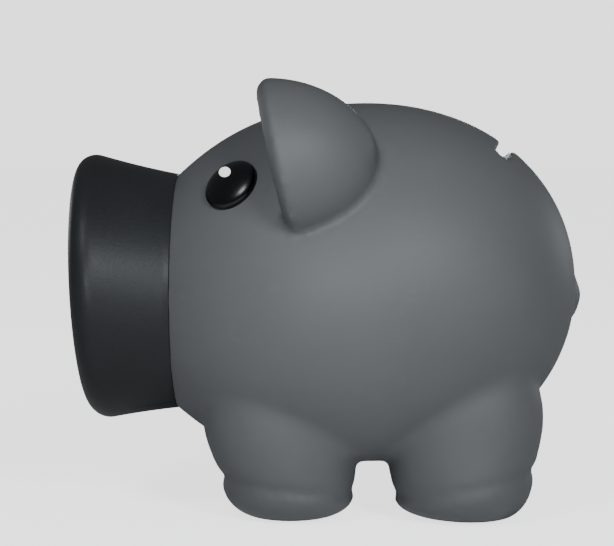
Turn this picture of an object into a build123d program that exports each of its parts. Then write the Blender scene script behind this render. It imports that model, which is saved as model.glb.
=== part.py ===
from build123d import *
from math import cos, radians, sin
import os

# A pig money box in soft vinyl. The pig faces -X and stands on z = 0.

# Body: an egg turned about an axis that dips a little towards the nose
body_radius = 46.35
head_length = 47.2
rump_length = 54.5
axis_height = 55.6
body_pitch = 3.64
nose_radius = 27.9
belly_height = 13.9
wall = 2.5
seat_wall = 4.0
cheek_shares = ((0.378, 0.968), (0.729, 1.0))
rump_shares = (0.577, 0.589)

# Front opening and the plug that closes it
opening_radius = 26.0
plug_clearance = 0.15
plug_depth = 9.0
plug_wall = 1.8
plug_rib_height = 0.4
plug_rib_width = 1.6

# Snout: a cone that flares forwards and rises a little, with a face that leans forwards
snout_length = 24.1
snout_pitch = 2.0
snout_flare_radius = 34.6
snout_face_lean = 2.8
snout_rim_round = 4.4
snout_waist = 0.35
snout_wall = 2.3
snout_face_wall = 3.6
snout_face_dish = 0.8
snout_dish_radius = 25.8
nostril_width = 7.6
nostril_height = 11.5
nostril_spread = 10.5
nostril_depth = 2.2

# Coin slot across the rump
slot_length = 31.0
slot_width = 3.6
slot_share = 0.53
slot_tilt = 6.0

# Eyes: domed buttons in shallow sockets
eye_radius = 6.9
eye_dome = 2.2
eye_lip = 0.2
eye_inset = 1.1
eye_clearance = 0.05
eye_share = 0.435
eye_turn = 46.5

# Ears: deep cups that droop a little backwards, with a mouth that leans forwards
ear_radius = 19.4
ear_depth = 25.2
ear_hollow = 16.0
ear_wall = 5.2
ear_round = 3.6
ear_inner_round = 1.2
ear_share = 0.656
ear_lift = 3.1
ear_turn = 45.6
ear_droop = 3.5
ear_lean = 12.5

# Legs: hooves with a rounded sole, ankles that taper into flattened round thighs
front_leg_reach = 17.1
rear_leg_reach = 25.5
front_leg_spread = 17.4
rear_leg_spread = 17.8
front_hoof_radius = 16.2
rear_hoof_radius = 16.95
hoof_height = 11.8
hoof_round = 8.8
crease_round = 0.5
thigh_root_share = 0.77
thigh_height = 24.8
thigh_top = 39.3
thigh_top_share = 0.75
front_thigh_reach = 19.1
rear_thigh_reach = 26.0
front_thigh_spread = 18.6
rear_thigh_spread = 17.2
front_thigh_length = 38.4
rear_thigh_length = 39.6
front_thigh_width = 33.0
rear_thigh_width = 32.6

# Tail: a low moulded curl
tail_radius = 5.0
tail_height = 1.6
tail_tip = 0.9
tail_drop = 5.5

# Handles of a curve that comes close to a quarter of an ellipse
round_share = 0.5523

# Cutters run past what they cut by this much
overrun = 6.0

# Places that follow from the sizes
snout_front = (
    snout_length * cos(radians(snout_pitch))
    + (snout_flare_radius - snout_rim_round) * sin(radians(snout_face_lean))
)
head_run = head_length * cos(radians(body_pitch)) - nose_radius * sin(radians(body_pitch))
rump_run = rump_length * cos(radians(body_pitch)) + tail_drop * sin(radians(body_pitch))
widest_x = (snout_front + head_run - rump_run - tail_height) / 2
nose_slope = (body_radius * cheek_shares[0][1] - nose_radius) / (head_length * cheek_shares[0][0])
seat_swell = nose_radius * sin(radians(body_pitch)) * nose_slope
seat_radius = nose_radius + seat_swell
axis_run = Vector(cos(radians(body_pitch)), 0, sin(radians(body_pitch)))
axis_up = Vector(-sin(radians(body_pitch)), 0, cos(radians(body_pitch)))
near_side = Vector(0, -1, 0)
body_plane = Plane(origin=(widest_x, 0, axis_height), x_dir=axis_run, z_dir=near_side)
body_axis = Axis(body_plane.origin, axis_run)
seat_x = widest_x - head_run
seat_z = axis_height - head_length * sin(radians(body_pitch)) + seat_swell
seat_plane = Plane(origin=(seat_x, 0, seat_z), x_dir=(1, 0, 0), z_dir=near_side)
seat_axis = Axis(seat_plane.origin, (1, 0, 0))


def cheek_curve(inset=0):
    """Head half of the egg's outline: distance from the widest ring, then radius."""
    start = Vector(-head_length, nose_radius)
    end = Vector(0, body_radius)
    rise, run = (Vector(-head_length * (1 - a), body_radius * b) for a, b in cheek_shares)
    slope = (rise - start).normalized()
    shrink = 1 - inset / body_radius
    start_in = start + Vector(slope.Y, -slope.X) * inset
    end_in = end - Vector(0, inset)
    return Bezier(
        start_in,
        start_in + (rise - start) * shrink,
        end_in + (run - end) * shrink,
        end_in,
    )


def rump_curve(inset=0):
    """Rump half of the egg's outline, from the widest ring back to the tail."""
    length = rump_length - inset
    radius = body_radius - inset
    run, rise = rump_shares
    return Bezier((0, radius), (length * run, radius), (length, radius * rise), (length, 0))


def quarter(run, rise, lift=0):
    """Quarter of an ellipse, from its run along X up to its rise along Y."""
    return Bezier(
        (run, lift),
        (run, lift + rise * round_share),
        (run * round_share, lift + rise),
        (0, lift + rise),
    )


cheek = cheek_curve()
rump = rump_curve()


def plane_on_body(curve, share, turn, lift=0):
    """Plane on or above the body's skin, part way along a curve and turned from the top."""
    point = curve @ share
    slope = curve % share
    radial = axis_up * cos(radians(turn)) + near_side * sin(radians(turn))
    outward = radial * slope.X - axis_run * slope.Y
    origin = body_plane.origin + axis_run * point.X + radial * point.Y + outward * lift
    return Plane(origin=origin, x_dir=axis_run * slope.X + radial * slope.Y, z_dir=outward)


def leg_form(hoof_radius, foot_place, thigh_sections, inset=0):
    """Near-side leg: a hoof under a barrel thigh. An inset gives the hollow inside it."""
    foot = Plane(origin=(*foot_place, inset), x_dir=(1, 0, 0), z_dir=near_side)
    radius = hoof_radius - inset
    with BuildPart() as leg:
        for height, (x, y), length, width in thigh_sections:
            with BuildSketch(Plane.XY.offset(height)):
                with Locations((x, y)):
                    Ellipse(length / 2 - inset, width / 2 - inset)
        loft()
        with BuildSketch(foot):
            with Locations((radius / 2, (hoof_height - inset) / 2)):
                Rectangle(radius, hoof_height - inset)
            corners = vertices().group_by(Axis.X)[-1].sort_by(Axis.Y)
            fillet(corners[0], hoof_round - inset)
            fillet(vertices().group_by(Axis.Y)[-1].sort_by(Axis.X)[-1], crease_round)
        revolve(axis=Axis(foot.origin, (0, 0, 1)))
    return leg.part


def thigh(foot_place, hoof_radius, reach, spread, length, width):
    """Sections of a thigh: height, centre, length and width of each ellipse."""
    middle = (widest_x + reach, -spread)
    root = 2 * hoof_radius * thigh_root_share
    return (
        (hoof_height / 2, foot_place, root, root),
        (thigh_height, middle, length, width),
        (thigh_top, middle, length * thigh_top_share, width * thigh_top_share),
    )


def front_leg(inset=0):
    place = (widest_x - front_leg_reach, -front_leg_spread)
    sections = thigh(
        place,
        front_hoof_radius,
        -front_thigh_reach,
        front_thigh_spread,
        front_thigh_length,
        front_thigh_width,
    )
    return leg_form(front_hoof_radius, place, sections, inset)


def rear_leg(inset=0):
    place = (widest_x + rear_leg_reach, -rear_leg_spread)
    sections = thigh(
        place,
        rear_hoof_radius,
        rear_thigh_reach,
        rear_thigh_spread,
        rear_thigh_length,
        rear_thigh_width,
    )
    return leg_form(rear_hoof_radius, place, sections, inset)


# Ear: a half egg with its round end backwards and a scoop in its front
ear_foot = plane_on_body(cheek, ear_share, ear_turn, ear_lift)
ear_run = Vector(cos(radians(ear_droop)), 0, -sin(radians(ear_droop)))
ear_plane = Plane(origin=ear_foot.origin, x_dir=ear_run, z_dir=near_side)
mouth_in = Vector(cos(radians(ear_lean)), 0, sin(radians(ear_lean)))
mouth_plane = Plane(origin=ear_foot.origin, x_dir=(0, 1, 0), z_dir=mouth_in)
mouth_axis = Axis(mouth_plane.origin, mouth_in)
lip_middle = ear_radius - ear_wall / 2

with BuildPart() as ear:
    with BuildSketch(ear_plane):
        with BuildLine():
            back = quarter(ear_depth, ear_radius)
            scoop = quarter(ear_hollow, ear_radius - ear_wall)
            Polyline(
                back @ 1,
                (-ear_radius, ear_radius),
                (-ear_radius, ear_radius - ear_wall),
                scoop @ 1,
            )
            Line(back @ 0, scoop @ 0)
        make_face()
    revolve(axis=Axis(ear_plane.origin, ear_run))
    split(bisect_by=mouth_plane)
    lip = edges().group_by(mouth_axis)[0]
    outer = lip.filter_by(lambda e: e.distance_to(mouth_plane.origin) > lip_middle)
    fillet(outer, ear_round)
    lip = edges().group_by(mouth_axis)[0]
    inner = lip.filter_by(lambda e: e.distance_to(mouth_plane.origin) < lip_middle - ear_inner_round / 2)
    fillet(inner, ear_inner_round)

# The body's hollow: the egg and the legs, one wall inside the skin
with BuildPart() as chamber:
    with BuildSketch(body_plane):
        with BuildLine():
            front = cheek_curve(wall)
            back = rump_curve(wall)
            Polyline(back @ 1, ((front @ 0).X, 0), front @ 0)
        make_face()
    revolve(axis=body_axis)
    split(bisect_by=Plane.XY.offset(belly_height + wall))
    split(bisect_by=Plane.YZ.offset(seat_x + seat_wall))
    add(front_leg(wall))
    add(rear_leg(wall))
    mirror(about=Plane.XZ)

eye_plane = plane_on_body(cheek, eye_share, eye_turn)
slot_plane = plane_on_body(rump, slot_share, 0).rotated((0, slot_tilt, 0))
tail_plane = Plane(
    origin=body_plane.origin + axis_run * rump_length - axis_up * tail_drop,
    x_dir=(0, 0, 1),
    z_dir=(1, 0, 0),
)

with BuildPart() as eye_sockets:
    with BuildSketch(eye_plane.offset(-eye_inset)):
        Circle(eye_radius + eye_clearance)
    extrude(amount=overrun)
    mirror(about=Plane.XZ)

# Body: one moulding with legs, ears, tail, front opening, coin slot and eye sockets
with BuildPart() as body_shell:
    with BuildSketch(body_plane):
        with BuildLine():
            add(cheek)
            add(rump)
            Polyline(rump @ 1, (-head_length, 0), cheek @ 0)
        make_face()
    revolve(axis=body_axis)
    split(bisect_by=Plane.XY.offset(belly_height))
    split(bisect_by=Plane.YZ.offset(seat_x))
    add(front_leg())
    add(rear_leg())
    add(ear.part)
    mirror(about=Plane.XZ)
    with BuildSketch(Plane(tail_plane.origin, x_dir=(1, 0, 0), z_dir=near_side)):
        with BuildLine():
            Polyline(
                (-wall, 0), (-wall, tail_radius), (0, tail_radius),
                (tail_height, tail_tip), (tail_height, 0),
                close=True,
            )
        make_face()
        fillet(vertices().group_by(Axis.X)[-1].sort_by(Axis.Y)[-1], tail_tip / 2)
    revolve(axis=Axis(tail_plane.origin, (1, 0, 0)))
    add(chamber.part, mode=Mode.SUBTRACT)
    with BuildSketch(Plane(seat_plane.origin, x_dir=(0, 1, 0), z_dir=(1, 0, 0))):
        Circle(opening_radius)
    extrude(amount=overrun, both=True, mode=Mode.SUBTRACT)
    with BuildSketch(slot_plane):
        Rectangle(slot_width, slot_length)
    extrude(amount=overrun, both=True, mode=Mode.SUBTRACT)
    add(eye_sockets.part, mode=Mode.SUBTRACT)

body_shell.part.label = "body_shell"

# Snout: a hollow cone with a rounded rim, two nostrils and a ribbed spigot behind
snout_run = Vector(-cos(radians(snout_pitch)), 0, sin(radians(snout_pitch)))
snout_plane = Plane(origin=seat_plane.origin, x_dir=snout_run, z_dir=(0, 1, 0))
snout_axis = Axis(snout_plane.origin, snout_run)
plug_radius = opening_radius - plug_clearance
core_radius = plug_radius - plug_rib_height
bore_radius = core_radius - plug_wall
face_out = Vector(-cos(radians(snout_face_lean)), 0, -sin(radians(snout_face_lean)))
face_middle = snout_plane.origin + snout_run * snout_length
face_plane = Plane(origin=face_middle, x_dir=(0, 1, 0), z_dir=face_out)
face_axis = Axis(face_middle, face_out)

with BuildPart() as snout_hollow:
    with BuildSketch(snout_plane):
        with BuildLine():
            Polyline(
                (snout_wall, 0),
                (snout_wall, bore_radius - plug_wall),
                (2 * snout_wall, seat_radius - snout_wall),
                (snout_length + overrun, snout_flare_radius - 2 * snout_wall),
                (snout_length + overrun, 0),
                close=True,
            )
        make_face()
    revolve(axis=snout_axis)
    split(bisect_by=face_plane.offset(-snout_face_wall), keep=Keep.BOTTOM)
    fillet(edges().group_by(face_axis)[-1], snout_rim_round - snout_wall)

with BuildPart() as snout:
    with BuildSketch(snout_plane):
        with BuildLine():
            start = Polyline((-overrun, 0), (-overrun, seat_radius), (0, seat_radius))
            flank = SagittaArc(start @ 1, (snout_length, snout_flare_radius), snout_waist)
            lead = Line(flank @ 1, flank @ 1 + (flank % 1) * overrun)
            Polyline(lead @ 1, ((lead @ 1).X, 0), start @ 0)
        make_face()
    revolve(axis=snout_axis)
    split(bisect_by=face_plane, keep=Keep.BOTTOM)
    fillet(edges().group_by(face_axis)[-1], snout_rim_round)
    split(bisect_by=Plane(seat_plane.origin, x_dir=(0, 1, 0), z_dir=(-1, 0, 0)))
    with BuildSketch(seat_plane):
        with Locations((plug_depth / 2, core_radius / 2)):
            Rectangle(plug_depth, core_radius)
        with Locations((seat_wall / 2, core_radius), (plug_depth - plug_rib_width, core_radius)):
            Rectangle(plug_rib_width, 2 * plug_rib_height)
    revolve(axis=seat_axis)
    with BuildSketch(seat_plane):
        with Locations((plug_depth, 0)):
            Rectangle(plug_depth + 2 * snout_wall, bore_radius, align=(Align.MAX, Align.MIN))
    revolve(axis=seat_axis, mode=Mode.SUBTRACT)
    add(snout_hollow.part, mode=Mode.SUBTRACT)
    with BuildSketch(Plane(face_middle, x_dir=face_out, z_dir=near_side)):
        with BuildLine():
            dish = Bezier(
                (0, snout_dish_radius),
                (-snout_face_dish, snout_dish_radius / 2),
                (-snout_face_dish, 0),
            )
            Polyline(dish @ 1, (overrun, 0), (overrun, snout_dish_radius), dish @ 0)
        make_face()
    revolve(axis=face_axis, mode=Mode.SUBTRACT)
    with BuildSketch(face_plane):
        with Locations((-nostril_spread, 0), (nostril_spread, 0)):
            Ellipse(nostril_width / 2, nostril_height / 2)
    extrude(amount=-nostril_depth - snout_face_dish, mode=Mode.SUBTRACT)

snout.part.label = "snout"

# Eye: a button with a domed front
def eye_button():
    with BuildPart() as eye:
        with BuildSketch(Plane(eye_plane.origin, x_dir=eye_plane.x_dir, z_dir=-eye_plane.y_dir)):
            with BuildLine():
                dome = quarter(eye_radius, eye_dome - eye_lip, eye_lip)
                Polyline(dome @ 1, (0, -eye_inset), (eye_radius, -eye_inset), dome @ 0)
            make_face()
        revolve(axis=Axis(eye_plane.origin, eye_plane.z_dir))
    return eye.part

with BuildPart() as eye_left:
    add(eye_button())

with BuildPart() as eye_right:
    add(mirror(eye_button(), about=Plane.XZ, mode=Mode.PRIVATE))

eye_left.part.label = "eye_left"
eye_right.part.label = "eye_right"

os.makedirs("parts", exist_ok=True)
export_step(body_shell.part, "parts/body_shell.step")
export_step(snout.part, "parts/snout.step")
export_step(eye_left.part, "parts/eye_left.step")
export_step(eye_right.part, "parts/eye_right.step")
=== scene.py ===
from math import atan, cos, pi, radians, sin, sqrt, tan

import bpy
from mathutils import Matrix, Vector


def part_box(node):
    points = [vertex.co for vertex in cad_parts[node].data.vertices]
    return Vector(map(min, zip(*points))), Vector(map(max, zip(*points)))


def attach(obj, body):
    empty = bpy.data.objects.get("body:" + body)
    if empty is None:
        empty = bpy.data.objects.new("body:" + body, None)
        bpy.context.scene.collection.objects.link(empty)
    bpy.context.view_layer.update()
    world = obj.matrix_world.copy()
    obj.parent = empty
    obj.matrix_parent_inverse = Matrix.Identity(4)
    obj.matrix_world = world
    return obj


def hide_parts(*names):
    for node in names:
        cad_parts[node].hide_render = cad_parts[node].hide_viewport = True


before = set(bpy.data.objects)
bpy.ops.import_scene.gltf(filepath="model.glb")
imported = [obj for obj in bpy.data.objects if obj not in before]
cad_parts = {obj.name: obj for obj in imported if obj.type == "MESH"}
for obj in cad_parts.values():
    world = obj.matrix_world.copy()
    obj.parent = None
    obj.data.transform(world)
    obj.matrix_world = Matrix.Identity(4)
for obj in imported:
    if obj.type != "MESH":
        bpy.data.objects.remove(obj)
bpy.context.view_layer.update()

mm = 0.001

# Body: an egg turned about an axis that dips a little towards the nose
body_radius = 46.35 * mm
head_length = 47.2 * mm
rump_length = 54.5 * mm
axis_height = 55.6 * mm
body_pitch = radians(3.64)
nose_radius = 27.9 * mm
belly_height = 13.9 * mm
wall = 2.5 * mm
seat_wall = 4.0 * mm
opening_radius = 26.0 * mm
seam_round = 0.45 * mm
cheek_rise_shares = (0.378, 0.968)
cheek_run_shares = (0.729, 1.0)
rump_shares = (0.577, 0.589)

# Snout: a cone that flares forwards and rises a little, with a face that leans forwards
snout_length = 24.1 * mm
snout_pitch = radians(2.0)
snout_flare_radius = 34.6 * mm
snout_face_lean = radians(2.8)
snout_rim_round = 5.0 * mm
snout_waist = 0.35 * mm
snout_wall = 2.3 * mm
snout_face_wall = 3.6 * mm
snout_face_dish = 0.8 * mm
snout_dish_radius = 25.8 * mm
dish_shares = (0.0, 0.06, 0.14, 0.25, 0.38, 0.52, 0.68, 0.84, 0.97)
plug_radius = 25.85 * mm
plug_depth = 9.0 * mm
plug_wall = 1.8 * mm
plug_rib_height = 0.4 * mm
plug_rib_width = 1.6 * mm
edge_break = 0.3 * mm
nostril_width = 7.6 * mm
nostril_height = 11.5 * mm
nostril_spread = 10.5 * mm
nostril_depth = 2.2 * mm
nostril_round = 1.2 * mm
cavity_taper_share = 1.2
seat_edge_share = 0.4

# Ears: deep cups that droop a little backwards, with a mouth that leans forwards
ear_radius = 19.4 * mm
ear_depth = 25.2 * mm
ear_hollow = 16.0 * mm
ear_wall = 5.2 * mm
ear_round = 4.4 * mm
ear_inner_round = 0.8 * mm
lip_gap_share = 0.2
ear_share = 0.656
ear_lift = 3.1 * mm
ear_turn = radians(45.6)
ear_droop = radians(3.5)
mouth_lean = radians(12.5)

# Coin slot, eyes and tail
slot_length = 31.0 * mm
slot_width = 3.6 * mm
slot_share = 0.53
slot_tilt = radians(6.0)
slot_pocket = 6.0 * mm
slot_end_share = 0.4
slot_round_share = 0.45
eye_radius = 6.9 * mm
eye_dome = 2.2 * mm
eye_lip = 0.2 * mm
eye_inset = 1.1 * mm
eye_clearance = 0.05 * mm
eye_share = 0.435
eye_turn = radians(46.5)
glint_width = 3.0 * mm
glint_height = 2.4 * mm
glint_drop = 0.4 * mm
glint_shift = Vector((-0.2, 0, 1.9)) * mm
tail_radius = 5.0 * mm
tail_height = 1.6 * mm
tail_tip = 0.9 * mm
tail_drop = 5.5 * mm
tail_lip_share = 0.2
tail_dome_share = 0.6

# Legs: a rounded sole, a hoof whose crease rises outwards, and a barrel thigh
sole_share = 0.38
hoof_share = 0.84
crease_depth = 0.8 * mm
crease_height = 1.8 * mm
thigh_height = 24.8 * mm
thigh_top = 39.3 * mm
thigh_shares = (0.0, 0.14, 0.3, 0.5, 0.75, 1.0)
thigh_top_shrink = 0.42
legs = {
    "front": {
        "outwards": -1,
        "sole_reach": -17.0 * mm,
        "reach": -17.3 * mm,
        "spread": 17.4 * mm,
        "radius": 16.2 * mm,
        "outer_crease": 10.3 * mm,
        "inner_crease": 6.3 * mm,
        "thigh_reach": -19.1 * mm,
        "thigh_spread": 18.6 * mm,
        "thigh_length": 38.4 * mm,
        "thigh_width": 33.0 * mm,
    },
    "rear": {
        "outwards": 1,
        "sole_reach": 28.4 * mm,
        "reach": 25.9 * mm,
        "spread": 17.8 * mm,
        "radius": 17.0 * mm,
        "outer_crease": 12.2 * mm,
        "inner_crease": 5.6 * mm,
        "thigh_reach": 25.8 * mm,
        "thigh_spread": 17.2 * mm,
        "thigh_length": 39.4 * mm,
        "thigh_width": 32.6 * mm,
    },
}

# Fineness of the moulded skin, and how often it is softened
skin_voxel = 0.86 * mm
hollow_voxel = 2.0 * mm
skin_softening = 7
crease_softening = 14
crease_zone_share = 1.1
hollow_softening = 2
flat_gap = 0.001 * mm
smooth_angle = radians(35)

# How many rings each rounded part is drawn with
ear_back_rings = 20
ear_lip_rings = 8
ear_fold_rings = 4
ear_scoop_rings = 14
hoof_rings = 8
shoulder_rings = 6
cavity_rings = 4
flank_rings = 12
rim_rings = 14
pit_rings = 5

# Length of a Bezier handle that draws a quarter of a circle, as a share of its radius
circle_handle_share = 0.5523

# Places that follow from the sizes and from the frame
seat_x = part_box("body_shell")[0].x
axis_run = Vector((cos(body_pitch), 0, sin(body_pitch)))
axis_up = Vector((-sin(body_pitch), 0, cos(body_pitch)))
near_side = Vector((0, -1, 0))
widest_x = seat_x + head_length * cos(body_pitch) - nose_radius * sin(body_pitch)
body_middle = Vector((widest_x, 0, axis_height))
nose_slope = (body_radius * cheek_rise_shares[1] - nose_radius) / (
    head_length * cheek_rise_shares[0]
)
seat_swell = nose_radius * sin(body_pitch) * nose_slope
seat_radius = nose_radius + seat_swell
seat_middle = Vector((seat_x, 0, axis_height - head_length * sin(body_pitch) + seat_swell))


class Number:
    """A number that a shader node gives. Sums and products of it add Math nodes."""

    def __init__(self, finish, socket):
        self.finish = finish
        self.socket = socket

    def sum_up(self, operation, first, second):
        return self.finish.node("ShaderNodeMath", {"operation": operation}, {0: first, 1: second})

    def __add__(self, other):
        return self.sum_up("ADD", self, other)

    def __sub__(self, other):
        return self.sum_up("SUBTRACT", self, other)

    def __rsub__(self, other):
        return self.sum_up("SUBTRACT", other, self)

    def __mul__(self, other):
        return self.sum_up("MULTIPLY", self, other)

    def __truediv__(self, other):
        return self.sum_up("DIVIDE", self, other)


class Finish:
    """The nodes of one material or world, with a method that adds any node to them."""

    def __init__(self, owner):
        self.owner = owner
        owner.use_nodes = True
        self.tree = owner.node_tree
        self.tree.nodes.clear()

    def node(self, kind, settings=None, inputs=None, output=0):
        made = self.tree.nodes.new(kind)
        for name, value in (settings or {}).items():
            setattr(made, name, value)
        for name, value in (inputs or {}).items():
            if isinstance(value, Number):
                self.tree.links.new(value.socket, made.inputs[name])
            else:
                made.inputs[name].default_value = value
        return Number(self, made.outputs[output]) if made.outputs else None

    def place(self):
        return self.node("ShaderNodeTexCoord", output="Object")

    def split(self, where):
        """The X, Y and Z numbers of a place."""
        apart = self.node("ShaderNodeSeparateXYZ", inputs={"Vector": where})
        outputs = apart.socket.node.outputs
        return [Number(self, outputs[axis]) for axis in "XYZ"]

    def noise(self, where, scale, detail=2.0, roughness=0.5):
        return self.node(
            "ShaderNodeTexNoise",
            inputs={"Vector": where, "Scale": scale, "Detail": detail, "Roughness": roughness},
        )

    def spread(self, value, low, high):
        """Stretches a number so that low gives 0 and high gives 1, and stops there."""
        return self.node(
            "ShaderNodeMapRange",
            {"clamp": True, "interpolation_type": "SMOOTHSTEP"},
            {"Value": value, "From Min": low, "From Max": high},
        )

    def blend(self, share, dark, light):
        return self.node(
            "ShaderNodeMix",
            {"data_type": "RGBA"},
            {0: share, 6: dark, 7: light},
            output=2,
        )

    def bump(self, height, distance, below=None):
        inputs = {"Height": height, "Distance": distance, "Strength": 1.0}
        if below:
            inputs["Normal"] = below
        return self.node("ShaderNodeBump", inputs=inputs)

    def surface(self, **inputs):
        named = {name.replace("_", " "): value for name, value in inputs.items()}
        shader = self.node("ShaderNodeBsdfPrincipled", inputs=named)
        self.node("ShaderNodeOutputMaterial", inputs={"Surface": shader})
        return self.owner


def new_finish(name):
    return Finish(bpy.data.materials.new(name))


def grey(value, blue=1.0):
    """A grey that leans towards blue where blue is over 1."""
    return (value, value * (1 + blue) / 2, value * blue, 1.0)


def body_vinyl():
    """Dark grey soft vinyl: cloudy colour, fine pores and a faint unevenness from the mould."""
    finish = new_finish("body_vinyl")
    where = finish.place()
    clouds = finish.noise(where, scale=38.0, detail=3.0)
    pores = finish.noise(where, scale=2600.0, detail=1.0)
    swells = finish.noise(where, scale=120.0, detail=1.0)
    patches = finish.noise(where, scale=300.0, detail=4.0, roughness=0.7)
    rubs = finish.spread(patches, low=0.56, high=0.72)
    mottle = clouds * 0.75 + pores * 0.25
    colour = finish.blend(mottle, dark=grey(0.066, 1.06), light=grey(0.086, 1.05))
    fine = finish.bump(pores, distance=0.012 * mm)
    return finish.surface(
        Base_Color=finish.blend(rubs * 0.22, dark=colour, light=grey(0.098, 1.04)),
        Roughness=clouds * 0.10 + rubs * 0.06 + 0.50,
        Specular_IOR_Level=0.28,
        Normal=finish.bump(swells, distance=0.05 * mm, below=fine),
    )


def snout_vinyl():
    """Near-black satin vinyl with a fine grain."""
    finish = new_finish("snout_vinyl")
    where = finish.place()
    clouds = finish.noise(where, scale=60.0)
    grain = finish.noise(where, scale=1500.0, detail=2.0)
    mottle = clouds * 0.5 + grain * 0.5
    colour = finish.blend(mottle, dark=grey(0.009, 1.15), light=grey(0.018, 1.12))
    return finish.surface(
        Base_Color=colour,
        Roughness=grain * 0.14 + 0.36,
        Specular_IOR_Level=0.20,
        Normal=finish.bump(grain, distance=0.03 * mm),
    )


def eye_gloss(glint):
    """Polished black, with a painted white glint on its upper front. The glint's white paint also
    glows, a painted highlight that is brighter than the lamps alone make it.
    """
    finish = new_finish("eye_gloss")
    where = finish.place()
    haze = finish.noise(where, scale=900.0)
    x, _, z = finish.split(where)
    across = (x - glint.x) / glint_width
    over = (z - glint.z) / glint_height
    glint_paint_and_glow = 1.0 - finish.spread(across * across + over * over, low=0.22, high=0.27)
    black = finish.blend(haze, dark=grey(0.0015, 1.6), light=grey(0.003, 1.4))
    white = finish.blend(haze, dark=grey(0.90), light=grey(0.96))
    return finish.surface(
        Base_Color=finish.blend(glint_paint_and_glow, dark=black, light=white),
        Roughness=haze * 0.05 + glint_paint_and_glow * 0.2 + 0.22,
        # The glint's white paint glows here: painted highlight, brighter than the lamps alone
        # would light it
        Emission_Color=finish.blend(glint_paint_and_glow, dark=grey(0.0), light=grey(1.0)),
        Emission_Strength=1.2,
        Normal=finish.bump(glint_paint_and_glow, distance=0.03 * mm),
    )


def deselect():
    """Goes back to object mode, with nothing selected."""
    if bpy.context.object and bpy.context.object.mode != "OBJECT":
        bpy.ops.object.mode_set(mode="OBJECT")
    bpy.ops.object.select_all(action="DESELECT")


def take(*pieces):
    """Selects these pieces alone, the first as the active one."""
    deselect()
    for piece in pieces:
        piece.select_set(True)
    bpy.context.view_layer.objects.active = pieces[0]
    return pieces[0]


def edit_all(piece):
    """Opens a piece's mesh with all of it selected."""
    take(piece)
    bpy.ops.object.mode_set(mode="EDIT")
    bpy.ops.mesh.select_all(action="SELECT")


def named(name):
    """Names the piece that an operator has just added, and puts its place into its mesh."""
    piece = take(bpy.context.object)
    piece.name = name
    bpy.ops.object.transform_apply(location=True, rotation=True, scale=True)
    return piece


def select_where(piece, test):
    """In edit mode, selects the points that pass a test, and the edges and faces between them."""
    take(piece)
    mesh = piece.data
    hits = [test(point.co) for point in mesh.vertices]
    for point, hit in zip(mesh.vertices, hits):
        point.select = hit
    for edge in mesh.edges:
        edge.select = all(hits[i] for i in edge.vertices)
    for face in mesh.polygons:
        face.select = all(hits[i] for i in face.vertices)
    bpy.ops.object.mode_set(mode="EDIT")


def close_up(piece):
    """Merges doubled points and turns the faces outwards."""
    edit_all(piece)
    bpy.ops.mesh.remove_doubles(threshold=flat_gap)
    bpy.ops.mesh.normals_make_consistent(inside=False)
    bpy.ops.object.mode_set(mode="OBJECT")
    return piece


def join(name, pieces):
    take(*pieces)
    bpy.ops.object.join()
    bpy.context.object.name = name
    return bpy.context.object


def modify(piece, kind, **settings):
    """Adds a modifier and applies it."""
    take(piece)
    modifier = piece.modifiers.new(kind.lower(), kind)
    for name, value in settings.items():
        setattr(modifier, name, value)
    bpy.ops.object.modifier_apply(modifier=modifier.name)
    return piece


def cut(piece, cutter):
    """Takes one piece out of another, and drops it."""
    modify(piece, "BOOLEAN", operation="DIFFERENCE", solver="EXACT", object=cutter)
    bpy.data.objects.remove(cutter)
    return piece


def mirrored(piece, name):
    """A copy on the other side of the XZ plane, with its own mesh."""
    take(piece)
    bpy.ops.object.duplicate()
    copy = bpy.context.object
    copy.name = name
    edit_all(copy)
    bpy.ops.transform.mirror(constraint_axis=(False, True, False), center_override=(0, 0, 0))
    bpy.ops.object.mode_set(mode="OBJECT")
    return close_up(copy)


def lathe(name, knots, middle, run, out, steps=144, fineness=16):
    """A shell spun from a line of knots. A knot is a point, or a point between two handles,
    each as a distance along the axis and a radius."""
    deselect()
    bpy.ops.curve.primitive_bezier_curve_add()
    line = bpy.context.object
    bpy.ops.object.mode_set(mode="EDIT")
    bpy.ops.curve.select_all(action="SELECT")
    bpy.ops.curve.subdivide(number_cuts=len(knots) - 2)
    bpy.ops.object.mode_set(mode="OBJECT")
    line.data.resolution_u = fineness
    for point, knot in zip(line.data.splines[0].bezier_points, knots):
        knot = knot if len(knot) == 3 else (knot, knot, knot)
        point.handle_left_type = point.handle_right_type = "FREE"
        point.handle_left, point.co, point.handle_right = (
            middle + run * along + out * radius for along, radius in knot
        )
    bpy.ops.object.convert(target="MESH")
    edit_all(bpy.context.object)
    bpy.ops.mesh.spin(steps=steps, angle=2 * pi, center=middle, axis=run)
    return close_up(named(name))


def tube(name, rings, points=96):
    """A closed shell drawn out from ring to ring. A ring is a middle, the angle that its axis
    rises by from the X axis, a half height and a half width."""
    middle, lean, height, width = rings[0]
    deselect()
    bpy.ops.mesh.primitive_circle_add(
        vertices=points,
        radius=1,
        fill_type="NGON",
        location=middle,
        rotation=(0, pi / 2 - lean, 0),
    )
    piece = named(name)
    edit_all(piece)
    bpy.ops.transform.resize(value=(height, width, height), center_override=middle)
    for next_middle, next_lean, next_height, next_width in rings[1:]:
        bpy.ops.mesh.extrude_region_move(TRANSFORM_OT_translate={"value": next_middle - middle})
        if next_lean != lean:
            bpy.ops.transform.rotate(
                value=next_lean - lean, orient_axis="Y", center_override=next_middle
            )
        bpy.ops.transform.resize(
            value=(next_height / height, next_width / width, next_height / height),
            center_override=next_middle,
        )
        middle, lean, height, width = next_middle, next_lean, next_height, next_width
    return close_up(piece)


def trim(piece, place, normal):
    """Cuts away what lies beyond a plane on the side that its normal points to."""
    edit_all(piece)
    bpy.ops.mesh.bisect(plane_co=place, plane_no=normal, use_fill=True, clear_outer=True)
    bpy.ops.object.mode_set(mode="OBJECT")
    return piece


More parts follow.
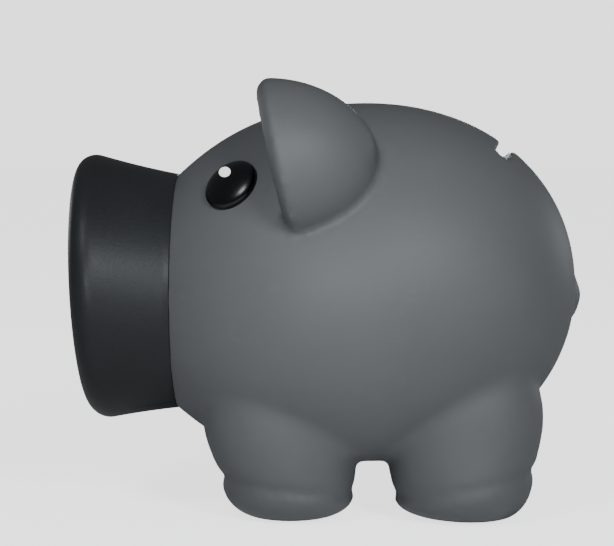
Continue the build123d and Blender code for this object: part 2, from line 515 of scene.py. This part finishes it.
def fuse(piece, voxel, softening):
    """Makes one skin of overlapping shells and softens the creases between them."""
    modify(piece, "REMESH", mode="VOXEL", voxel_size=voxel, adaptivity=0.0)
    return modify(piece, "SMOOTH", factor=0.5, iterations=softening)


def arc_steps(count):
    """Angles from nothing to a quarter turn."""
    return [pi / 2 * i / count for i in range(count + 1)]


def cheek_knots(inset=0.0, nose=0.0):
    """The head half of the egg's outline: its tip, which a nose length carries on past the
    seat, its knot at the seat, and the handle that leads to the widest ring."""
    start = Vector((-head_length, nose_radius))
    rise = Vector((-head_length * (1 - cheek_rise_shares[0]), body_radius * cheek_rise_shares[1]))
    run = Vector((-head_length * (1 - cheek_run_shares[0]), body_radius * cheek_run_shares[1]))
    end = Vector((0, body_radius))
    slope = (rise - start).normalized()
    shrink = 1 - inset / body_radius
    start_in = start + Vector((slope.y, -slope.x)) * inset
    end_in = end - Vector((0, inset))
    tip = start_in - slope * nose
    return tip, (tip, start_in, start_in + (rise - start) * shrink), end_in + (run - end) * shrink


def egg(name, inset=0.0, nose=0.0):
    """The body's egg, or its hollow where it is drawn in by an inset."""
    tip, start, handle = cheek_knots(inset, nose)
    radius = body_radius - inset
    length = rump_length - inset
    knots = [
        (tip[0], 0),
        (tip, tip, tip),
        start,
        (handle, (0, radius), (length * rump_shares[0], radius)),
        ((length, radius * rump_shares[1]), (length, 0), (length, 0)),
    ]
    return lathe(name, knots, body_middle, axis_run, axis_up, steps=192, fineness=40)


def cubic(points, turn):
    """Point and slope of a cubic curve at its own parameter."""
    a, b, c, d = (Vector(point) for point in points)
    rest = 1 - turn
    point = a * rest**3 + b * 3 * rest**2 * turn + c * 3 * rest * turn**2 + d * turn**3
    slope = (b - a) * rest**2 + (c - b) * 2 * rest * turn + (d - c) * turn**2
    return point, slope.normalized()


def along_curve(points, share, pieces=400):
    """Point and slope of a cubic curve at a share of its length."""
    places = [cubic(points, i / pieces)[0] for i in range(pieces + 1)]
    steps = [(b - a).length for a, b in zip(places, places[1:])]
    goal = share * sum(steps)
    walked = 0.0
    for i, step in enumerate(steps):
        if walked + step >= goal:
            return cubic(points, (i + (goal - walked) / step) / pieces)
        walked += step
    return cubic(points, 1.0)


def cheek_points():
    """The four points of the cheek's curve, from the seat to the widest ring."""
    _, start, handle = cheek_knots()
    return start[1], start[2], handle, (0, body_radius)


def rump_points():
    """The four points of the rump's curve, from the widest ring to the tail."""
    return (
        (0, body_radius),
        (rump_length * rump_shares[0], body_radius),
        (rump_length, body_radius * rump_shares[1]),
        (rump_length, 0),
    )


def skin_place(points, share, turn):
    """Point on the body's skin, the way outwards there and the way along the skin."""
    point, slope = along_curve(points, share)
    radial = axis_up * cos(turn) + near_side * sin(turn)
    outward = radial * slope.x - axis_run * slope.y
    along = axis_run * slope.x + radial * slope.y
    return body_middle + axis_run * point.x + radial * point.y, outward, along


def leaning_section(radius_at, step, lean, limit, halvings=30):
    """Where a leaning plane cuts a turned shape: the section's middle along the axis and above
    it, its half height and its half width. radius_at gives the shape's radius along its axis."""

    def reach(side):
        low, high = 0.0, limit
        for _ in range(halvings):
            rise = (low + high) / 2
            if rise < radius_at(step - side * rise * tan(lean)):
                low = rise
            else:
                high = rise
        return low

    top, bottom = reach(1), reach(-1)
    rise = (top - bottom) / 2
    along = step - rise * tan(lean)
    width = sqrt(max(radius_at(along) ** 2 - rise**2, 0))
    return along, rise, (top + bottom) / 2 / cos(lean), width


def ear(name):
    """A cup with its round end backwards, a scoop in its front and a thick rounded lip."""
    skin, outward, _ = skin_place(cheek_points(), ear_share, ear_turn)
    middle = skin + outward * ear_lift
    run = Vector((cos(ear_droop), 0, -sin(ear_droop)))
    up = Vector((sin(ear_droop), 0, cos(ear_droop)))
    mouth = mouth_lean + ear_droop

    def ring(radius, depth, step, grow=0.0):
        def cup(along):
            return radius * sqrt(max(1 - (max(along, 0) / depth) ** 2, 0))

        lean = mouth * (1 - step / depth)
        along, rise, height, width = leaning_section(cup, step, lean, radius)
        return middle + run * along + up * rise, lean - ear_droop, height + grow, width + grow

    inner = ear_radius - ear_wall
    back = [ring(ear_radius, ear_depth, ear_depth * cos(a)) for a in arc_steps(ear_back_rings)[1:]]
    back = [r for r in back if (r[0] - middle).dot(run) > ear_round * lip_gap_share]
    lip = [
        ring(ear_radius, ear_depth, ear_round * (1 - sin(a)), ear_round * (cos(a) - 1))
        for a in arc_steps(ear_lip_rings)
    ]
    fold = [
        ring(inner, ear_hollow, ear_inner_round * (1 - cos(a)), ear_inner_round * (1 - sin(a)))
        for a in arc_steps(ear_fold_rings)
    ]
    scoop = [
        ring(inner, ear_hollow, ear_hollow * sin(a)) for a in arc_steps(ear_scoop_rings)[2:-1]
    ]
    return tube(name, back + lip + fold + scoop, points=144)


def leg(name, side, inset=0.0):
    """A leg in one piece: a flat sole, a rounded hoof, a soft crease and a barrel thigh.
    The hollow inside it is drawn in by an inset and has no crease."""
    form = legs[side]
    radius = form["radius"] - inset
    half_length = form["thigh_length"] / 2 - inset
    half_width = form["thigh_width"] / 2 - inset
    sole = Vector((widest_x + form["sole_reach"], -form["spread"], 0))
    foot = Vector((widest_x + form["reach"], -form["spread"], 0))
    thigh = Vector((widest_x + form["thigh_reach"], -form["thigh_spread"], 0))
    outer, inner = form["outer_crease"], form["inner_crease"]
    groove = 0 if inset else crease_depth

    def ring(outer_height, inner_height, middle, length, width):
        middle = middle.copy()
        middle.z = (outer_height + inner_height) / 2
        lean = atan((outer_height - inner_height) / (2 * length))
        return middle, pi / 2 + form["outwards"] * lean, length / cos(lean), width

    rings = []
    for turn in arc_steps(hoof_rings):
        swell = radius * (sole_share + (1 - sole_share) * sin(turn))
        climb = hoof_share * (1 - cos(turn))
        low = inset * cos(turn)
        middle = sole.lerp(foot, sin(turn))
        rings.append(ring(outer * climb + low, inner * climb + low, middle, swell, swell))
    for share in thigh_shares:
        fill = sin(share * pi / 2)
        pinch = groove * max(1 - share * (thigh_height - outer) / crease_height, 0)
        rings.append(
            ring(
                outer + (thigh_height - outer) * share,
                inner + (thigh_height - inner) * share,
                foot.lerp(thigh, fill),
                radius + (half_length - radius) * fill - pinch,
                radius + (half_width - radius) * fill - pinch,
            )
        )
    for turn in arc_steps(shoulder_rings)[1:]:
        height = thigh_height + (thigh_top - thigh_height) * sin(turn)
        shrink = 1 - thigh_top_shrink * (1 - cos(turn))
        rings.append(ring(height, height, thigh, half_length * shrink, half_width * shrink))
    return tube(name, rings)


def coin_slot():
    """Cutter of the coin slot: a flat block with rounded ends, square to the rump's skin."""
    skin, outward, along = skin_place(rump_points(), slot_share, 0)
    turn = Matrix.Rotation(slot_tilt, 3, "Y")
    outward, along = turn @ outward, turn @ along
    deselect()
    bpy.ops.mesh.primitive_cube_add(size=1)
    block = bpy.context.object
    block.scale = (slot_width, slot_length, 2 * slot_pocket)
    bpy.ops.object.transform_apply(location=False, rotation=False, scale=True)
    for end in (-1, 1):
        select_where(block, lambda point: point.y * end > slot_length * slot_end_share)
        bpy.ops.mesh.bevel(offset=slot_width * slot_round_share, segments=6, affect="EDGES")
        bpy.ops.object.mode_set(mode="OBJECT")
    block.matrix_world = Matrix.Translation(skin) @ Matrix(
        (along, (0, 1, 0), outward)
    ).transposed().to_4x4()
    return named("coin_slot")


def tail(name):
    """A low cone on the rump."""
    run = Vector((1, 0, 0))
    middle = body_middle + axis_run * rump_length - axis_up * tail_drop
    knots = [
        (-wall, 0),
        (-wall, tail_radius),
        (0, tail_radius),
        (tail_height - tail_tip * tail_lip_share, tail_tip),
        ((tail_height, tail_tip * tail_dome_share), (tail_height, 0), (tail_height, 0)),
    ]
    return lathe(name, knots, middle, run, Vector((0, 0, 1)), steps=48, fineness=6)


def body_skin():
    """Outer skin of the body: the egg with its belly and coin slot, the legs and the ears."""
    shell = egg("body_egg", nose=seat_wall)
    trim(shell, (0, 0, belly_height), (0, 0, -1))
    cut(shell, coin_slot())
    pieces = [shell, tail("tail")]
    for side in legs:
        near_leg = leg(side + "_leg", side)
        pieces += [near_leg, mirrored(near_leg, side + "_leg_far")]
    near_ear = ear("ear")
    pieces += [near_ear, mirrored(near_ear, "ear_far")]
    skin = fuse(join("body_skin", pieces), skin_voxel, skin_softening)
    low, high = belly_height * crease_zone_share, thigh_top * crease_zone_share
    select_where(skin, lambda point: low < point.z < high)
    bpy.ops.mesh.vertices_smooth(factor=0.5, repeat=crease_softening)
    bpy.ops.object.mode_set(mode="OBJECT")
    return skin


def body_hollow():
    """The coin chamber and the hollows of the legs, one wall inside the skin."""
    chamber = egg("chamber", inset=wall)
    trim(chamber, (0, 0, belly_height + wall), (0, 0, -1))
    trim(chamber, (seat_x + seat_wall, 0, 0), (-1, 0, 0))
    pieces = [chamber]
    for side in legs:
        near_hollow = leg(side + "_hollow", side, wall)
        pieces += [near_hollow, mirrored(near_hollow, side + "_hollow_far")]
    return fuse(join("body_hollow", pieces), hollow_voxel, hollow_softening)


def round_cutter(name, radius, depth, place, axis):
    """A cylinder along an axis, with its middle at a place."""
    deselect()
    bpy.ops.mesh.primitive_cylinder_add(vertices=128, radius=radius, depth=depth)
    cutter = bpy.context.object
    turn = axis.to_track_quat("Z", "Y").to_matrix().to_4x4()
    cutter.matrix_world = Matrix.Translation(place) @ turn
    return named(name)


def make_body():
    """The hollow body, with the opening for the snout and the two eye sockets."""
    body = body_skin()
    trim(body, (seat_x, 0, 0), (-1, 0, 0))
    select_where(body, lambda point: abs(point.x - seat_x) < flat_gap)
    bpy.ops.mesh.bevel(offset=seam_round, segments=3, affect="EDGES", clamp_overlap=True)
    bpy.ops.object.mode_set(mode="OBJECT")
    cut(body, body_hollow())
    run = Vector((1, 0, 0))
    cut(body, round_cutter("opening", opening_radius, 4 * seat_wall, seat_middle, run))
    skin, outward, _ = skin_place(cheek_points(), eye_share, eye_turn)
    socket = round_cutter(
        "socket",
        eye_radius + eye_clearance,
        2 * seat_wall,
        skin + outward * (seat_wall - eye_inset),
        outward,
    )
    far_socket = mirrored(socket, "socket_far")
    cut(body, socket)
    cut(body, far_socket)
    body.name = "body"
    return body


def flank_radius(share):
    """Radius of the snout's flank, which is a little hollow, from the seat to the face."""
    straight = seat_radius + (snout_flare_radius - seat_radius) * share
    return straight - 4 * snout_waist * share * (1 - share)


def make_snout():
    """The snout and its spigot in one shell, drawn from the cavity's front out to the face."""
    run = Vector((-cos(snout_pitch), 0, sin(snout_pitch)))
    rise_way = Vector((sin(snout_pitch), 0, cos(snout_pitch)))
    back = Vector((1, 0, 0))
    face_out = Vector((-cos(snout_face_lean), 0, -sin(snout_face_lean)))
    face_middle = seat_middle + run * snout_length
    core = plug_radius - plug_rib_height
    bore = core - plug_wall
    tiny = edge_break / 2
    straight = snout_length - snout_rim_round

    def seat_ring(along, radius):
        return seat_middle + back * along, 0, radius, radius

    def flank_ring(step, inset=0.0):
        lean = snout_face_lean * min(max(step / straight, 0), 1)
        along, rise, height, width = leaning_section(
            lambda along: flank_radius(along / snout_length),
            step,
            -lean - snout_pitch,
            2 * snout_flare_radius,
        )
        middle = seat_middle + run * along + rise_way * rise
        return middle, lean, height - inset, width - inset

    def face_ring(depth, radius):
        return face_middle - face_out * depth, snout_face_lean, radius, radius

    cavity_front = snout_length - snout_face_wall
    corner = snout_rim_round - snout_wall
    rings = [face_ring(snout_face_wall, tiny)]
    rings += [
        flank_ring(cavity_front - corner * (1 - cos(a)), snout_wall + corner * (1 - sin(a)))
        for a in arc_steps(cavity_rings)
    ]
    rings += [
        flank_ring(2 * snout_wall, snout_wall * cavity_taper_share),
        flank_ring(snout_wall, seat_radius - bore + plug_wall),
        seat_ring(-tiny, bore),
        seat_ring(plug_depth - edge_break, bore),
        seat_ring(plug_depth, bore + edge_break),
        seat_ring(plug_depth, core - edge_break),
        seat_ring(plug_depth - edge_break, core),
    ]
    half_rib = plug_rib_width / 2
    for middle in (plug_depth - plug_rib_width, seat_wall / 2):
        rings += [
            seat_ring(middle + half_rib, core),
            seat_ring(middle + half_rib - tiny, plug_radius - tiny),
            seat_ring(middle + half_rib - edge_break, plug_radius),
            seat_ring(middle - half_rib + edge_break, plug_radius),
            seat_ring(middle - half_rib + tiny, plug_radius - tiny),
            seat_ring(middle - half_rib, core),
        ]
    rings += [
        seat_ring(0, core),
        flank_ring(0, edge_break),
        flank_ring(tiny, tiny * seat_edge_share),
    ]
    rings += [
        flank_ring(edge_break + (straight - edge_break) * i / flank_rings)
        for i in range(flank_rings)
    ]
    flare = atan((snout_flare_radius - seat_radius) / snout_length)
    for i in range(rim_rings + 1):
        turn = -flare + (pi / 2 + flare) * i / rim_rings
        depth = snout_rim_round * (1 - sin(turn))
        shrink = snout_rim_round * (tan(flare) + 1 / cos(flare) - cos(turn)) - tan(flare) * depth
        rings.append(flank_ring(snout_length - depth, shrink))
    rings.append(face_ring(0, snout_dish_radius + edge_break))
    rings += [
        face_ring(snout_face_dish * (1 - (1 - t) ** 2), snout_dish_radius * (1 - t))
        for t in dish_shares
    ]
    snout = tube("snout", rings, points=192)
    for side in (-1, 1):
        cut(snout, nostril(face_middle, face_out, side))
    return snout


def nostril(face_middle, face_out, side):
    """Cutter of one nostril: an oval pit with a rounded bottom."""
    middle = face_middle + Vector((0, side * nostril_spread, 0))
    half_height = nostril_height / 2
    half_width = nostril_width / 2
    pit = nostril_depth + snout_face_dish
    rings = []
    for turn in arc_steps(pit_rings):
        bottom = middle - face_out * (pit - nostril_round * (1 - cos(turn)))
        inset = nostril_round * (1 - sin(turn))
        rings.append((bottom, snout_face_lean, half_height - inset, half_width - inset))
    rings.append((middle + face_out * pit, snout_face_lean, half_height, half_width))
    return tube("nostril", rings, points=64)


def make_eye(name):
    """A button with a domed front."""
    skin, outward, along = skin_place(cheek_points(), eye_share, eye_turn)
    rise = eye_dome - eye_lip
    knots = [
        (-eye_inset, 0),
        (-eye_inset, eye_radius),
        (
            (0, eye_radius),
            (eye_lip, eye_radius),
            (eye_lip + rise * circle_handle_share, eye_radius),
        ),
        ((eye_dome, eye_radius * circle_handle_share), (eye_dome, 0), (eye_dome, 0)),
    ]
    return lathe(name, knots, skin, outward, along, steps=96, fineness=20)


def glint_middle():
    """Where the painted glint sits on the near eye's dome."""
    skin, outward, along = skin_place(cheek_points(), eye_share, eye_turn)
    return skin + outward * eye_dome - along * glint_drop + glint_shift


def finished(piece, material, body, node):
    """Dresses a piece, smooths it, hands it to its body and hides the CAD node that it stands in
    for.
    """
    piece.data.materials.clear()
    piece.data.materials.append(material)
    take(piece)
    bpy.ops.object.shade_smooth_by_angle(angle=smooth_angle)
    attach(piece, body)
    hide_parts(node)
    return piece


body = finished(make_body(), body_vinyl(), "body", "body_shell")
snout = finished(make_snout(), snout_vinyl(), "snout", "snout")
near_eye = make_eye("eye_near")
far_eye = mirrored(near_eye, "eye_far")
gloss = eye_gloss(glint_middle())
finished(near_eye, gloss, "body", "eye_left")
finished(far_eye, gloss, "body", "eye_right")

# Stage: a pale floor, soft lights, and the camera at the photograph's angle
camera_place = Vector((7.58, -490.0, 89.37)) * mm
camera_aim = Vector((-5.82, 0.0, 58.97)) * mm
focus_pixels = 1934
frame_pixels = 614
lens_share = focus_pixels / frame_pixels
sensor_width = 36.0
nearest_seen = 0.01
part_middle = (0, 0, 0.06)
floor_radius = 12.0
floor_glow = 1.9
cool_white = (0.92, 0.96, 1.0)
fill_strength = 0.14
backdrop_strength = 2.05
spot_softness = 0.03


def floor_paper():
    """Plain pale paper that glows a little, so that the floor meets the backdrop."""
    finish = new_finish("floor_paper")
    mottle = finish.noise(finish.place(), scale=8.0)
    return finish.surface(
        Base_Color=finish.blend(mottle, dark=grey(0.784), light=grey(0.80)),
        Roughness=0.7,
        Specular_IOR_Level=0.2,
        Emission_Color=grey(1.0),
        Emission_Strength=floor_glow,
    )


def light_only(light, *pieces):
    """Keeps what a light gives to these pieces."""
    group = bpy.data.collections.new("lit_by_" + light.name)
    for piece in pieces:
        group.objects.link(piece)
    light.light_linking.receiver_collection = group


def make_floor():
    """A wide disc under the part, whose own glow lights nothing but itself."""
    deselect()
    bpy.ops.mesh.primitive_circle_add(vertices=96, radius=floor_radius, fill_type="NGON")
    floor = named("floor")
    floor.data.materials.append(floor_paper())
    light_only(floor, floor)
    return floor


def aim_at(thing, way):
    """Turns a light or the camera to look along a way."""
    thing.rotation_mode = "QUATERNION"
    thing.rotation_quaternion = way.to_track_quat("-Z", "Y")


def make_lamp(kind, name, place, aim, power, **settings):
    """A light of any kind at a place, aimed at a point."""
    deselect()
    bpy.ops.object.light_add(type=kind, location=place)
    lamp = bpy.context.object
    lamp.name = name
    for setting, value in settings.items():
        setattr(lamp.data, setting, value)
    lamp.data.energy = power
    lamp.data.color = cool_white
    aim_at(lamp, Vector(aim) - Vector(place))
    return lamp


def make_light(name, place, aim, size, power):
    """A soft round lamp."""
    return make_lamp("AREA", name, place, aim, power, shape="DISK", size=size)


def make_spot(name, place, aim, reach, power):
    """A spot that fades from its middle to nothing at a reach from its aim."""
    distance = (Vector(aim) - Vector(place)).length
    return make_lamp(
        "SPOT",
        name,
        place,
        aim,
        power,
        spot_size=2 * atan(reach / distance),
        spot_blend=1.0,
        shadow_soft_size=spot_softness,
    )


def make_world():
    """A bright backdrop that only the camera sees, and a weak fill for all else."""
    world = bpy.data.worlds.new("studio")
    bpy.context.scene.world = world
    finish = Finish(world)

    def glow(colour, strength):
        return finish.node("ShaderNodeBackground", inputs={"Color": colour, "Strength": strength})

    seen = glow(grey(1.0), backdrop_strength)
    fill = glow((*cool_white, 1.0), fill_strength)
    from_camera = finish.node("ShaderNodeLightPath", output="Is Camera Ray")
    mix = finish.node("ShaderNodeMixShader", inputs={0: from_camera, 1: fill, 2: seen})
    finish.node("ShaderNodeOutputWorld", inputs={"Surface": mix})


def make_camera():
    """The camera at the photograph's place, angle and focal length."""
    deselect()
    bpy.ops.object.camera_add(location=camera_place)
    camera = bpy.context.object
    camera.name = "camera"
    camera.data.sensor_width = sensor_width
    camera.data.lens = sensor_width * lens_share
    camera.data.clip_start = nearest_seen
    aim_at(camera, camera_aim - camera_place)
    bpy.context.scene.camera = camera


floor = make_floor()
make_world()
key = make_light("key", (0.51, -1.04, 0.54), part_middle, size=0.38, power=11.5)
light_only(key, body, snout, floor)
make_light("high", (-0.40, -0.72, 0.84), part_middle, size=0.36, power=4.0)
make_light("bounce", (0.0, -0.15, 0.001), (0, -0.15, 1.0), size=0.26, power=0.04)
back = make_light("back", (0.10, 1.25, 0.16), part_middle, size=0.26, power=7.0)
light_only(back, body, snout)
for side in (-1, 1):
    edge = make_light("edge", (side * 0.85, 0.85, 0.22), part_middle, size=0.3, power=1.2)
    light_only(edge, body, snout)
centre = make_spot("centre", (-0.13, -1.3, 0.22), (0.0, 0, 0.077), reach=0.094, power=48.0)
light_only(centre, body, snout)
make_camera()
